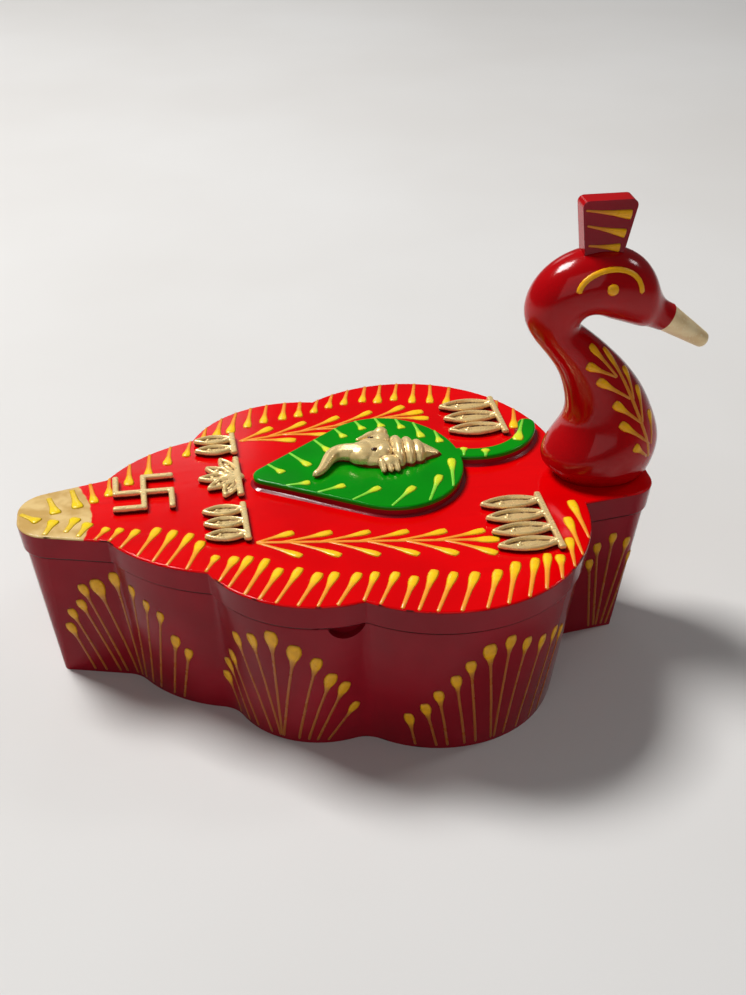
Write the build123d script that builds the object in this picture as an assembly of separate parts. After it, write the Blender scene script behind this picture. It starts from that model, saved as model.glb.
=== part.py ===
from build123d import *
from math import cos, pi, radians, sin, tan
import os

# A lift-lid kumkum box carved as a sitting peacock: a scalloped, tapered wall on a base board,
# a lid with castings and a raised leaf, and an S-shaped neck with a crest and a beak.
# Built from the tail tip at x = 0 to the beak, with y = 0 on the long middle line and z = 0
# on the table, then moved so that the origin lies under the middle of its length. Millimetres.

# Wall, lid and base
box_height = 55.0
lid_thickness = 10.0
wall_draft = 8.1            # degrees, the wall leans in towards the table
lid_overhang = 0.9          # the lid stands this far outside the wall at the seam
wall_foot = 5.0             # wall thickness where it meets the table
base_thickness = 4.0
lip_thickness = 5.0
lip_clearance = 0.6         # all round, between the lid's lip and the pocket
divider_thickness = 4.0
divider_headroom = 1.0      # between a divider and the lid's lip
glue_gap = 0.1              # around pieces that are glued in
edge_round = 0.8            # lid and wall edges along the seam and the lid's top
cusp_round = 0.3            # least radius left in the scallops' corners

# Plan of the lid's top edge, half of it: corners, then the bulge of each lobe between them.
# Places on the lid are shares of its length and of its width across the broadest lobes.
lid_length = 229.5
lid_width = 162.0
tail_half_width = 12.4
tail_round = 13.0
cusp_1_x, cusp_1_y = 0.1373 * lid_length, 0.1309 * lid_width
lobe_1_bulge = 0.0228 * lid_width
cusp_2_x, cusp_2_y = 0.2789 * lid_length, 0.2821 * lid_width
lobe_2_bulge = 0.063 * lid_width
cusp_3_x, cusp_3_y = 0.4946 * lid_length, 0.434 * lid_width
lobe_3_bulge = 0.0914 * lid_width
shoulder_x, shoulder_y = 0.8105 * lid_length, 0.3815 * lid_width
cusp_4_x, cusp_4_y = 0.8758 * lid_length, 0.142 * lid_width
breast_half_width = 18.4
breast_round = 12.0
pocket_tail_x = 0.1743 * lid_length     # the tail is solid wood up to here

# Finger notch in the near wall, under the lid's rim
notch_x = 0.4684 * lid_length
notch_width = 13.0
notch_height = 5.6
notch_depth = 4.0

# Raised leaf on the lid, and the curved stalk at its root
leaf_tip_x, leaf_tip_y = 0.3686 * lid_length, 0.0528 * lid_width
leaf_turn = 4.0             # degrees, from the middle line
leaf_length = 0.338 * lid_length
leaf_half_width = 33.3
leaf_broad_end = 27.6       # from the leaf's broadest place to its root
leaf_tip_round = 5.5
leaf_thickness = 4.0
stalk_radius = 22.5
stalk_width = 6.6
stalk_heading = -24.5       # degrees from the leaf's axis where the stalk leaves it
stalk_sweep = 104.0         # degrees of arc

# Cast elephant-headed figure on the leaf, crown towards the neck
figure_off_tip = 6.45       # across the lid, from the leaf's tip
figure_x, figure_y = leaf_tip_x + 0.5724 * leaf_length, leaf_tip_y + figure_off_tip
face_length = 24.0
face_width = 21.0
face_height = 8.0
ear_length = 15.0
ear_width = 13.0
ear_height = 3.2
ear_reach = 12.5            # ear's middle from the figure's axis
brow = 6.0                  # from the face's middle to the crown
crown_bands = [             # distance from the brow, radius
    (0.0, 6.8),
    (3.6, 8.5),
    (7.2, 6.1),
    (10.8, 7.0),
    (18.0, 2.5),
]
trunk_rings = [             # x and y from the face's middle, heading in degrees, radius
    (-6.0, 0.0, 180, 5.0),
    (-14.5, 1.7, 200, 4.2),
    (-19.0, -5.6, 262, 3.8),
    (-20.5, -12.8, 255, 2.5),
]

# Flat castings on the lid
casting_thickness = 2.6
casting_bar = 2.6
casting_rim = 1.7           # width of a leaf drop's rim
swastika_x, swastika_y = 0.196 * lid_length, 0.043 * lid_width
swastika_length = 22.0
swastika_width = 23.0
rear_gap = 4.1              # from the three rear castings to the leaf's tip
rear_bar_x = leaf_tip_x - rear_gap
rear_depth = 16.0
rear_far_y, rear_far_length = 0.2315 * lid_width, 15.0
rear_middle_y, rear_middle_length = 0.08 * lid_width, 26.0
rear_near_y, rear_near_length = -0.111 * lid_width, 24.0
front_gap = 22.8            # from the leaf's round end to the two front castings' bars
front_bar_x = leaf_tip_x + leaf_length + front_gap
front_depth = 23.0
front_far_y, front_far_length = 0.2747 * lid_width, 29.0
front_near_y, front_near_length = -0.21 * lid_width, 36.0
rear_far_drops = 2
rear_near_drops = 3
front_far_drops = 3
front_near_drops = 4
drop_gap = 1.0              # between the leaf drops of a casting
petals = 5
petal_width = 6.2
petal_step = 33.0           # degrees between petals

# Neck and head, one carved piece. Each section: (x, z) at its tail side, (x, z) at its beak
# side, half width. x is measured from neck_x and z from the lid's top.
neck_setback = 18.5         # from the breast's edge of the lid
neck_x = lid_length - neck_setback
crown_z = 87.6
neck_sections = [
    ((-16.5, 0.0), (16.5, 0.0), 13.5),      # seat on the lid
    ((-20.8, 5.4), (19.8, 7.0), 17.4),      # under the breast
    ((-20.6, 11.0), (21.0, 14.0), 18.2),    # fullest part of the breast
    ((-14.8, 21.0), (19.0, 23.0), 15.8),
    ((-14.0, 30.0), (14.4, 33.0), 13.0),
    ((-16.6, 39.6), (4.0, 46.4), 11.0),     # waist of the neck
    ((-23.6, 50.6), (-8.8, 57.8), 9.6),
    ((-30.2, 61.0), (-11.2, 60.8), 9.8),    # throat
    ((-29.8, 71.8), (-8.6, 63.8), 10.8),    # back of the head
    ((-22.4, 81.6), (-5.2, 63.8), 11.8),
    ((-7.4, crown_z), (-2.2, 62.2), 12.2),  # crown of the head
    ((7.0, 84.8), (3.2, 60.2), 11.4),       # eyes
    ((15.2, 75.6), (10.2, 57.8), 9.0),      # cheek
    ((23.2, 64.4), (17.2, 55.6), 5.4),      # snout
]
beak_length = 19.0
beak_root = 10.2
beak_tip = 5.6
beak_nose_round = 2.0
peg_diameter = 4.0
peg_length = 9.0
crest_foot_tail_x, crest_foot_beak_x = -11.6, 0.4       # from neck_x
crest_top_tail_x, crest_top_beak_x = -14.2, 5.6
crest_height = 17.6         # above the crown
crest_tenon = 6.6
crest_thickness = 7.0
crest_round = 2.2

# Screw that holds the neck, let into the lid's underside
screw_diameter = 4.5
screw_head_diameter = 9.0
screw_head_height = 2.7
screw_grip = 22.0           # length inside the neck
screw_clearance = 0.2

lid_base_z = box_height
lid_top_z = box_height + lid_thickness
leaf_top_z = lid_top_z + leaf_thickness
lip_base_z = lid_base_z - lip_thickness
screw_seat_z = lid_base_z + screw_head_height + screw_clearance


def draft_inset(z):
    """How far the drafted side has moved in at height z, from the lid's top edge."""
    return cusp_round + (lid_top_z - z) * tan(radians(wall_draft))


def lid_plan():
    """The scalloped plan of the lid's top edge, as a face."""
    cusp_1, cusp_2 = (cusp_1_x, cusp_1_y), (cusp_2_x, cusp_2_y)
    cusp_3, cusp_4 = (cusp_3_x, cusp_3_y), (cusp_4_x, cusp_4_y)
    tail = Polyline((0, 0), (0, tail_half_width), cusp_1)
    lobe_1 = SagittaArc(cusp_1, cusp_2, lobe_1_bulge)
    lobe_2 = SagittaArc(cusp_2, cusp_3, lobe_2_bulge)
    lobe_3 = SagittaArc(cusp_3, (shoulder_x, shoulder_y), lobe_3_bulge)
    shoulder = TangentArc(lobe_3 @ 1, cusp_4, tangent=lobe_3 % 1)
    breast = Polyline(cusp_4, (lid_length, breast_half_width), (lid_length, 0))
    half = Curve() + [tail, lobe_1, lobe_2, lobe_3, shoulder, breast]
    face = make_face((half + mirror(half, about=Plane.XZ)).edges())
    face = fillet(face.vertices().filter_by(on_corner(0, tail_half_width)), tail_round)
    return fillet(face.vertices().filter_by(on_corner(lid_length, breast_half_width)), breast_round)


def on_corner(x, y):
    """Picks the two mirrored corners of the plan at (x, y) and (x, -y)."""
    return lambda corner: abs(corner.X - x) < 0.01 and abs(abs(corner.Y) - y) < 0.01


def inset_plan(inset, z):
    return Pos(0, 0, z) * offset(plan, amount=-inset, kind=Kind.ARC)


def drafted(low_inset, low_z, high_inset, high_z):
    return loft([inset_plan(low_inset, low_z), inset_plan(high_inset, high_z)], ruled=True)


def pocket_plan():
    """The straight-sided pocket: the plan set in, without the tail and the breast lobe."""
    breast_x = cusp_4_x - pocket_inset
    middle = Pos((pocket_tail_x + breast_x) / 2, 0)
    return inset_plan(pocket_inset, 0) & middle * Rectangle(breast_x - pocket_tail_x, lid_length)


def pocket_prism(gap, low_z, high_z):
    outline = offset(pocket, amount=-gap, kind=Kind.INTERSECTION) if gap else pocket
    return extrude(Pos(0, 0, low_z) * outline, high_z - low_z)


def edges_at(solid, z):
    return [edge for edge in solid.edges() if all(abs(v.Z - z) < 0.001 for v in edge.vertices())]


def box_wall():
    top_inset = draft_inset(box_height) + lid_overhang
    wall = drafted(draft_inset(0) + lid_overhang, 0, top_inset, box_height)
    wall = fillet(edges_at(wall, box_height), edge_round)
    return wall - pocket_prism(0, 0, box_height) - finger_notch(top_inset)


def finger_notch(top_inset):
    """A half-round bite out of the near wall's top edge."""
    bite_radius = (notch_width**2 / 4 + notch_height**2) / (2 * notch_height)
    wall_face = min(v.Y for v in (Line((notch_x, -lid_length), (notch_x, 0)) & plan).vertices())
    inner_y = wall_face + top_inset + notch_depth
    middle = Plane(
        origin=(notch_x, inner_y, box_height - notch_height + bite_radius),
        z_dir=(0, -1, 0),
    )
    past_wall = 2 * (notch_depth + top_inset)
    return middle * extrude(Circle(bite_radius), past_wall)


def base_board():
    return pocket_prism(glue_gap, 0, base_thickness)


def divider(x):
    """A board across the pocket between a pair of facing cusps."""
    height = lip_base_z - divider_headroom - base_thickness
    board = Pos(x, 0, base_thickness + height / 2) * Box(divider_thickness, lid_length, height)
    return board & pocket_prism(glue_gap, base_thickness, box_height)


def screw_cut(diameter, low_z, high_z):
    """An upright hole on the neck screw's axis."""
    hole = Cylinder(diameter / 2 + screw_clearance, high_z - low_z)
    return Pos(neck_x, 0, (low_z + high_z) / 2) * hole


def lid_board():
    lid = drafted(draft_inset(lid_base_z), lid_base_z, draft_inset(lid_top_z), lid_top_z)
    lid = fillet(edges_at(lid, lid_top_z) + edges_at(lid, lid_base_z), edge_round)
    lid = lid - screw_cut(screw_diameter, lid_base_z, lid_top_z)
    return lid - screw_cut(screw_head_diameter, lid_base_z, screw_seat_z)


def lid_lip():
    return pocket_prism(lip_clearance, lip_base_z, lid_base_z)


def leaf_plate():
    tip = Pos(leaf_tip_round, 0) * Circle(leaf_tip_round)
    broad = Pos(leaf_length - leaf_broad_end, 0) * Ellipse(leaf_broad_end, leaf_half_width)
    blade = make_hull(tip.edges() + broad.edges())
    turn = Vector(0, stalk_radius).rotate(Axis.Z, stalk_heading)
    arc_centre = Vector(leaf_length, 0) + turn
    stalk = SlotArc(CenterArc(arc_centre, stalk_radius, stalk_heading - 90, stalk_sweep), stalk_width)
    plate = extrude(blade + stalk, leaf_thickness)
    plate = fillet(edges_at(plate, leaf_thickness), edge_round)
    return Pos(leaf_tip_x, leaf_tip_y, lid_top_z) * Rot(0, 0, leaf_turn) * plate


def half_dome(length, width, height):
    """The upper half of an ellipsoid on the ground plane."""
    dome = scale(Sphere(1), by=(length / 2, width / 2, height))
    return upper_half(dome, max(length, width, height))


def upper_half(solid, reach):
    """What of a solid lies above the ground plane, out to reach on each side."""
    return solid & Pos(0, 0, reach) * Box(2 * reach, 2 * reach, 2 * reach)


def figure_crown():
    """Banded crown lying on its back, from the brow to its tip."""
    outline = [(brow + along, radius) for along, radius in crown_bands]
    foot, tip = brow + crown_bands[0][0], brow + crown_bands[-1][0]
    profile = make_face(Polyline((foot, 0), *outline, (tip, 0), close=True))
    return upper_half(revolve(profile, Axis.X), 2 * tip)


def figure_trunk():
    """The trunk runs from the face to a bend and turns to the near side."""
    rings = []
    for x, y, heading, radius in trunk_rings:
        along = Vector(1, 0, 0).rotate(Axis.Z, heading)
        ring = Plane(origin=(x, y, 0), x_dir=(0, 0, 1), z_dir=along)
        rings.append(ring * Circle(radius))
    return upper_half(loft(rings), 2 * face_length)


def ganesha_figure():
    ear = half_dome(ear_length, ear_width, ear_height)
    figure = half_dome(face_length, face_width, face_height)
    figure = figure + Pos(face_length / 12, ear_reach, 0) * ear
    figure = figure + Pos(face_length / 12, -ear_reach, 0) * ear
    figure = figure + figure_crown() + figure_trunk()
    return Pos(figure_x, figure_y, leaf_top_z) * figure


def bar(start, end):
    """A casting's straight bar along X or Y, square-ended, as a flat outline."""
    low, high = Vector(*start), Vector(*end)
    middle, span = (low + high) * 0.5, high - low
    outline = Rectangle(abs(span.X) + casting_bar, abs(span.Y) + casting_bar)
    return Pos(middle.X, middle.Y) * outline


def swastika_ornament():
    reach_x = (swastika_length - casting_bar) / 2
    reach_y = (swastika_width - casting_bar) / 2
    outline = bar((-reach_x, 0), (reach_x, 0)) + bar((0, -reach_y), (0, reach_y))
    outline += bar((-reach_x, 0), (-reach_x, reach_y)) + bar((reach_x, 0), (reach_x, -reach_y))
    outline += bar((0, reach_y), (reach_x, reach_y)) + bar((0, -reach_y), (-reach_x, -reach_y))
    return Pos(swastika_x, swastika_y, lid_top_z) * extrude(outline, casting_thickness)


def drop(length, width):
    """A pointed leaf from the origin along -X, as a flat outline."""
    upper = SagittaArc((0, 0), (-length, 0), -width / 2)
    lower = SagittaArc((0, 0), (-length, 0), width / 2)
    return make_face(upper + lower)


def open_drop(length, width):
    """A pointed leaf's rim, as a flat outline."""
    leaf = drop(length, width)
    return leaf - offset(leaf, amount=-casting_rim, kind=Kind.INTERSECTION)


def garland(bar_x, y, length, depth, drops):
    """A casting: a bar across the lid with leaf drops hanging towards the tail."""
    half = (length - casting_bar) / 2
    outline = bar((0, -half), (0, half))
    pitch = 2 * half / drops
    for place in range(drops):
        drop_y = (place - (drops - 1) / 2) * pitch
        outline += Pos(0, drop_y) * open_drop(depth - casting_bar / 2, pitch - drop_gap)
    casting = extrude(outline, casting_thickness)
    return Pos(bar_x - casting_bar / 2, y, lid_top_z) * casting


def lotus(bar_x, y, length, depth):
    """A casting: a bar across the lid with a fan of petals towards the tail."""
    half = (length - casting_bar) / 2
    outline = bar((0, -half), (0, half))
    for place in range(petals):
        turn = (place - (petals - 1) / 2) * petal_step
        outline += Rot(0, 0, turn) * open_drop(depth - casting_bar / 2, petal_width)
    casting = extrude(outline, casting_thickness)
    return Pos(bar_x - casting_bar / 2, y, lid_top_z) * casting


def neck_plane(section):
    """Plane of a neck section: x from its tail side to its beak side, normal along the neck."""
    (tail_x, tail_z), (beak_x, beak_z), half_width = section
    tail_end = Vector(neck_x + tail_x, 0, lid_top_z + tail_z)
    beak_end = Vector(neck_x + beak_x, 0, lid_top_z + beak_z)
    across = (beak_end - tail_end).normalized()
    normal = Vector(-across.Z, 0, across.X)
    return Plane(origin=(tail_end + beak_end) * 0.5, x_dir=across, z_dir=normal)


def neck_ring(section):
    """An oval of six arcs across the neck."""
    (tail_x, tail_z), (beak_x, beak_z), half_width = section
    half_length = Vector(beak_x - tail_x, beak_z - tail_z).length / 2
    arcs = 6
    turns = [pi * step / arcs for step in range(2 * arcs + 1)]
    points = [(half_length * cos(turn), half_width * sin(turn)) for turn in turns]
    outline = [ThreePointArc(*points[start:start + 3]) for start in range(0, 2 * arcs, 2)]
    return neck_plane(section) * make_face(outline)


def beak_socket():
    """The hole in the snout for the beak's peg."""
    hole = Cylinder(peg_diameter / 2 + glue_gap, peg_length + glue_gap)
    return snout_plane * Pos(0, 0, -(peg_length + glue_gap) / 2) * hole


def crest_plate(clearance):
    """The crest, or with a clearance the slot for its tenon."""
    foot_z, top_z = crown_z - crest_tenon, crown_z + crest_height
    corners = [
        (crest_foot_tail_x, foot_z),
        (crest_foot_beak_x, foot_z),
        (crest_top_beak_x, top_z),
        (crest_top_tail_x, top_z),
    ]
    outline = make_face(Polyline(*corners, close=True))
    outline = fillet(outline.vertices().group_by(Axis.Y)[-1], crest_round)
    if clearance:
        outline = offset(outline, amount=clearance, kind=Kind.INTERSECTION)
    middle = Plane(origin=(neck_x, 0, lid_top_z), x_dir=(1, 0, 0), z_dir=(0, -1, 0))
    return middle * extrude(outline, crest_thickness / 2 + clearance, both=True)


def neck():
    carving = loft([neck_ring(section) for section in neck_sections])
    carving = carving - crest_plate(glue_gap) - beak_socket()
    return carving - screw_cut(screw_diameter, lid_top_z, lid_top_z + screw_grip + screw_clearance)


def beak():
    """A turned blunt cone with a peg at its back."""
    root, tip, peg = beak_root / 2, beak_tip / 2, peg_diameter / 2
    half = Polyline(
        (0, -peg_length),
        (peg, -peg_length),
        (peg, 0),
        (root, 0),
        (tip, beak_length),
        (0, beak_length),
        close=True,
    )
    half = make_face(half)
    nose = half.vertices().group_by(Axis.Y)[-1].sort_by(Axis.X)[-1]
    turned = revolve(fillet(nose, beak_nose_round), Axis.Y)
    along = Plane(origin=snout_plane.origin, x_dir=(0, 1, 0), z_dir=snout_plane.x_dir)
    return along * turned


def neck_screw():
    length = lid_top_z + screw_grip - screw_seat_z
    shank = Pos(neck_x, 0, screw_seat_z + length / 2) * Cylinder(screw_diameter / 2, length)
    head = Cylinder(screw_head_diameter / 2, screw_head_height)
    return shank + Pos(neck_x, 0, screw_seat_z - screw_head_height / 2) * head


plan = lid_plan()
pocket_inset = draft_inset(0) + lid_overhang + wall_foot
pocket = pocket_plan()
snout_plane = neck_plane(neck_sections[-1])

parts = {
    "box_wall": box_wall(),
    "base_board": base_board(),
    "divider_rear": divider(cusp_2_x),
    "divider_front": divider(cusp_3_x),
    "lid_board": lid_board(),
    "lid_lip": lid_lip(),
    "leaf_plate": leaf_plate(),
    "ganesha_figure": ganesha_figure(),
    "swastika_ornament": swastika_ornament(),
    "rear_casting_far": garland(rear_bar_x, rear_far_y, rear_far_length, rear_depth, rear_far_drops),
    "rear_casting_middle": lotus(rear_bar_x, rear_middle_y, rear_middle_length, rear_depth),
    "rear_casting_near": garland(
        rear_bar_x, rear_near_y, rear_near_length, rear_depth, rear_near_drops
    ),
    "front_casting_far": garland(
        front_bar_x, front_far_y, front_far_length, front_depth, front_far_drops
    ),
    "front_casting_near": garland(
        front_bar_x, front_near_y, front_near_length, front_depth, front_near_drops
    ),
    "neck": neck(),
    "beak": beak(),
    "crest": crest_plate(0),
    "neck_screw": neck_screw(),
}

os.makedirs("parts", exist_ok=True)
middle_x = (parts["lid_board"].bounding_box().min.X + parts["beak"].bounding_box().max.X) / 2
for name, solid in parts.items():
    export_step(Pos(-middle_x, 0, 0) * solid, f"parts/{name}.step")
    print(name, round(solid.volume), solid.bounding_box().size)
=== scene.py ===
# %% [markdown]
# # A painted peacock box for kumkum powder
#
# The box is sawn and carved wood, brushed with red lacquer and decorated by hand: raised
# paint strokes squeezed from a cone, a green leaf, and small gold castings glued on the lid.
# The solids come from the CAD frame and stay where they are. This lesson adds what paint,
# metal and light do to them, and models the strokes and castings in relief.

# %% Load the frame
import random
from math import acos, atan2, ceil, cos, pi, radians, sin

import bmesh
import bpy
from mathutils import Matrix, Vector
from mathutils.bvhtree import BVHTree


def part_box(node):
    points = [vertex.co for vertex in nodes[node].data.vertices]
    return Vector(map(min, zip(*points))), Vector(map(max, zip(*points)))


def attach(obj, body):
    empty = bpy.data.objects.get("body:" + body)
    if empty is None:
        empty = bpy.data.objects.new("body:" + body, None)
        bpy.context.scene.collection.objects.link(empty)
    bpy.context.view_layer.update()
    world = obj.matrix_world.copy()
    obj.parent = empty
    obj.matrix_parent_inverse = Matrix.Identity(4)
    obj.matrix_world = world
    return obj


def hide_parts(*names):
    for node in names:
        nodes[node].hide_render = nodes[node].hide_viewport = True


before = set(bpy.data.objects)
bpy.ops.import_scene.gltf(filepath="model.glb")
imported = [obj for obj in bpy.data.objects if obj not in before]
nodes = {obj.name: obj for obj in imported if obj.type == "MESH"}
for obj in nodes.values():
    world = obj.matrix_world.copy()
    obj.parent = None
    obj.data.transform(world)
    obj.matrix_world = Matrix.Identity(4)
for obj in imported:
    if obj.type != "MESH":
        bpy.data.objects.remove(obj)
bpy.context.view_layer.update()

scene = bpy.context.scene

# %% [markdown]
# ## One ruler for everything
#
# Every place on the box is measured the way its maker would: millimetres from the tail tip
# towards the beak, across from the middle line, and up from the table. One small function
# turns such a place into the frame's metres, so no other cell has to know where the origin is.

# %% Ruler
mm = 0.001
tail_inset = 0.42           # the lid's rounded edge starts this far from the tail tip, in mm
tail_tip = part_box("lid_board")[0].x - tail_inset * mm
lid_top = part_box("lid_board")[1].z / mm
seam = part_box("lid_board")[0].z / mm
leaf_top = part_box("leaf_plate")[1].z / mm


def at(x, y, z=lid_top):
    return Vector((tail_tip + x * mm, y * mm, z * mm))


print("lid top at", round(lid_top, 2), "mm, leaf top at", round(leaf_top, 2), "mm")

# %% [markdown]
# ## The camera
#
# The photograph looks down on the near side by about 31 degrees, turned 9 degrees towards the
# head. The lens is a little longer than normal, so the scallops shrink gently to the far side.

# %% Camera
look_down = 31.32           # degrees below the horizon
look_aside = 9.17           # degrees towards the head
camera_data = bpy.data.cameras.new("camera")
camera_data.sensor_width = 36
camera_data.lens = 53.4
camera_data.clip_start = 0.01
camera = bpy.data.objects.new("camera", camera_data)
camera.location = at(53.96, -453.28, 340.05)
camera.rotation_euler = (radians(90 - look_down), 0, radians(-look_aside))
scene.collection.objects.link(camera)
scene.camera = camera
print("camera", [round(c, 3) for c in camera.location])

# %% [markdown]
# ## Light
#
# A lacquered object shows its lamps. The main one hangs above and behind the tail like a small
# window: it puts the highlight on the back of the head and throws the shadows of the castings
# towards the near side. A dim panel far behind gives the lid's far edge its sheen, and a small
# lamp beyond the beak lights the head's own end. A broad, weak lamp on the near side and a faint
# surround open the shadows.

# %% Light
scene.view_settings.view_transform = "Standard"
lamp_aim = Vector((0, 0, 0.06))     # the middle of the lid


def soft_lamp(name, place, side, power):
    lamp = bpy.data.lights.new(name, "AREA")
    lamp.shape = "SQUARE"
    lamp.size = side
    lamp.energy = power
    holder = bpy.data.objects.new(name, lamp)
    holder.location = place
    aim = lamp_aim - holder.location
    holder.rotation_euler = aim.to_track_quat("-Z", "Y").to_euler()
    scene.collection.objects.link(holder)


soft_lamp("window", Vector((-0.76, 0.63, 1.65)), 0.6, 39)
soft_lamp("far_panel", Vector((-0.1, 1.3, 0.64)), 0.28, 0.4)
soft_lamp("near_side", Vector((-0.45, -2.2, 1.5)), 2.4, 12)
soft_lamp("head_side", Vector((1.0, 0.15, 0.9)), 0.2, 1.5)
world = bpy.data.worlds.new("surround")
world.use_nodes = True
surround = world.node_tree.nodes["Background"]
surround.inputs["Color"].default_value = (0.92, 0.95, 1.0, 1)
surround.inputs["Strength"].default_value = 0.09
scene.world = world

# %% [markdown]
# ## Nodes as words
#
# Every finish below is made of the same few ideas: a cloud of soft noise, a value faded between
# two limits, a colour mixed from two others, and a bump. Giving each idea a function keeps the
# finishes readable. Colours are written as they look on screen, from 0 to 255.

# %% Words for finishes
def paint(red, green, blue):
    def linear(value):
        value = value / 255
        return value / 12.92 if value < 0.04045 else ((value + 0.055) / 1.055) ** 2.4
    return (linear(red), linear(green), linear(blue), 1)


def start_finish(name):
    finish = bpy.data.materials.new(name)
    finish.use_nodes = True
    tree = finish.node_tree
    place = tree.nodes.new("ShaderNodeTexCoord").outputs["Object"]
    return finish, tree, tree.nodes["Principled BSDF"], place


def feed(tree, socket, value):
    if isinstance(value, bpy.types.NodeSocket):
        tree.links.new(value, socket)
    else:
        socket.default_value = value


def stretched(tree, place, stretch):
    turn = tree.nodes.new("ShaderNodeMapping")
    turn.inputs["Scale"].default_value = stretch
    tree.links.new(place, turn.inputs["Vector"])
    return turn.outputs["Vector"]


def cloud(tree, place, scale, detail=2.0):
    noise = tree.nodes.new("ShaderNodeTexNoise")
    noise.inputs["Scale"].default_value = scale
    noise.inputs["Detail"].default_value = detail
    tree.links.new(place, noise.inputs["Vector"])
    return noise.outputs["Fac"]


def fade(tree, value, low, high, at_low=0.0, at_high=1.0):
    node = tree.nodes.new("ShaderNodeMapRange")
    node.interpolation_type = "SMOOTHSTEP"
    tree.links.new(value, node.inputs["Value"])
    limits = (low, high, at_low, at_high)
    for name, number in zip(("From Min", "From Max", "To Min", "To Max"), limits):
        node.inputs[name].default_value = number
    return node.outputs["Result"]


def sum_of(tree, operation, first, second):
    node = tree.nodes.new("ShaderNodeMath")
    node.operation = operation
    feed(tree, node.inputs[0], first)
    feed(tree, node.inputs[1], second)
    return node.outputs[0]


def mix(tree, share, first, second):
    node = tree.nodes.new("ShaderNodeMix")
    node.data_type = "RGBA"
    feed(tree, node.inputs[0], share)
    feed(tree, node.inputs[6], first)
    feed(tree, node.inputs[7], second)
    return node.outputs[2]


def rough_relief(tree, shader, height, depth, strength):
    bump = tree.nodes.new("ShaderNodeBump")
    bump.inputs["Strength"].default_value = strength
    bump.inputs["Distance"].default_value = depth * mm
    tree.links.new(height, bump.inputs["Height"])
    tree.links.new(bump.outputs["Normal"], shader.inputs["Normal"])


def axis_of(tree, place, axis):
    split = tree.nodes.new("ShaderNodeSeparateXYZ")
    tree.links.new(place, split.inputs[0])
    return split.outputs[axis]


print("node words ready")

# %% [markdown]
# ### The floor
#
# The box stands on a plain pale card, which is part of the stage and not of the box. A grid of a
# few faces is enough for a flat sheet. A faint cloud and a fine tooth keep it from looking like an
# empty screen.

# %% Floor
floor_reach = 4.0           # metres from the middle to each side


def floor_finish():
    finish, tree, shader, place = start_finish("floor_card")
    tone = fade(tree, cloud(tree, place, 3, 4), 0.3, 0.7)
    colour = mix(tree, tone, paint(212, 209, 205), paint(218, 216, 213))
    feed(tree, shader.inputs["Base Color"], colour)
    shader.inputs["Roughness"].default_value = 0.75
    rough_relief(tree, shader, cloud(tree, place, 400), 0.2, 0.15)
    return finish


sheet = bmesh.new()
bmesh.ops.create_grid(sheet, x_segments=2, y_segments=2, size=floor_reach)
floor_mesh = bpy.data.meshes.new("floor")
sheet.to_mesh(floor_mesh)
sheet.free()
floor = bpy.data.objects.new("floor", floor_mesh)
floor_mesh.materials.append(floor_finish())
scene.collection.objects.link(floor)
print("floor", len(floor_mesh.polygons), "faces")

# %% [markdown]
# ## Lacquer
#
# Brushed lacquer is never one colour: it pools and thins, carries faint brush lines and dust
# nibs, and rubs thin along the edges that hands and the lid touch. Each lacquer here mixes two
# tones by slow clouds and brush lines. Near given heights it wears through to dark primer, and
# a thin line of painted shade darkens the seam under the lid. Sides that face away from the main
# lamp get a darker red as painted shade. How strongly a coat mirrors the room is its shine.

# %% Lacquer
primer = paint(58, 18, 16)
# Painted shade: the dark line in the gap of the seam between lid and wall.
seam_shade = paint(34, 6, 10)
seam_shade_off = 0.32            # mm from the seam to the middle of the dark line on either side
lid_shine, wall_shine, leaf_shine = 0.15, 0.14, 0.25
neck_shine, crest_shine, pool_shine, eye_shine = 0.25, 0.2, 0.5, 0.3
brush_run = (0.12, 1, 1)    # the brush runs from tail to head, so its lines are long that way


def brush_lines(tree, place):
    return cloud(tree, stretched(tree, place, brush_run), 420, 3)


def coat_colour(tree, place, bright, deep):
    pool = fade(tree, cloud(tree, place, 26, 3), 0.32, 0.7)
    lines = fade(tree, brush_lines(tree, place), 0.35, 0.75, 0, 0.35)
    return mix(tree, sum_of(tree, "MAXIMUM", pool, lines), bright, deep)


def close_to(tree, place, level, near, far):
    """1 within near of a height and 0 beyond far of it, all in mm."""
    above = sum_of(tree, "SUBTRACT", axis_of(tree, place, 2), level * mm)
    off = sum_of(tree, "ABSOLUTE", above, 0.0)
    return fade(tree, off, near * mm, far * mm, 1, 0)


def scuffs(tree, place, level):
    """Where the lacquer is rubbed thin: broken patches close to the given height, in mm."""
    patchy = fade(tree, cloud(tree, place, 170, 4), 0.56, 0.64)
    return sum_of(tree, "MULTIPLY", close_to(tree, place, level, 0.1, 0.35), patchy)


def seam_shaded(tree, place, colour, level):
    """Painted shade darkens a coat in a hair's breadth round the given height, in mm."""
    return mix(tree, close_to(tree, place, level, 0.2, 0.3), colour, seam_shade)


def lacquer_surface(tree, shader, place, shine, worn=None):
    """Gloss and relief of a coat, duller where it is worn."""
    gloss = fade(tree, cloud(tree, place, 55, 3), 0.3, 0.7, 0.1, 0.2)
    if worn is not None:
        gloss = sum_of(tree, "MULTIPLY_ADD", worn, 0.35)
        gloss.node.inputs[2].default_value = 0.14
    feed(tree, shader.inputs["Roughness"], gloss)
    nibs = fade(tree, cloud(tree, place, 900, 1), 0.7, 0.8)
    waves = sum_of(tree, "ADD", cloud(tree, place, 160, 2), brush_lines(tree, place))
    rough_relief(tree, shader, sum_of(tree, "ADD", waves, nibs), 0.12, 0.16)
    shader.inputs["Coat Weight"].default_value = shine / 3
    shader.inputs["Coat Roughness"].default_value = 0.04
    shader.inputs["Specular IOR Level"].default_value = shine


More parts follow.
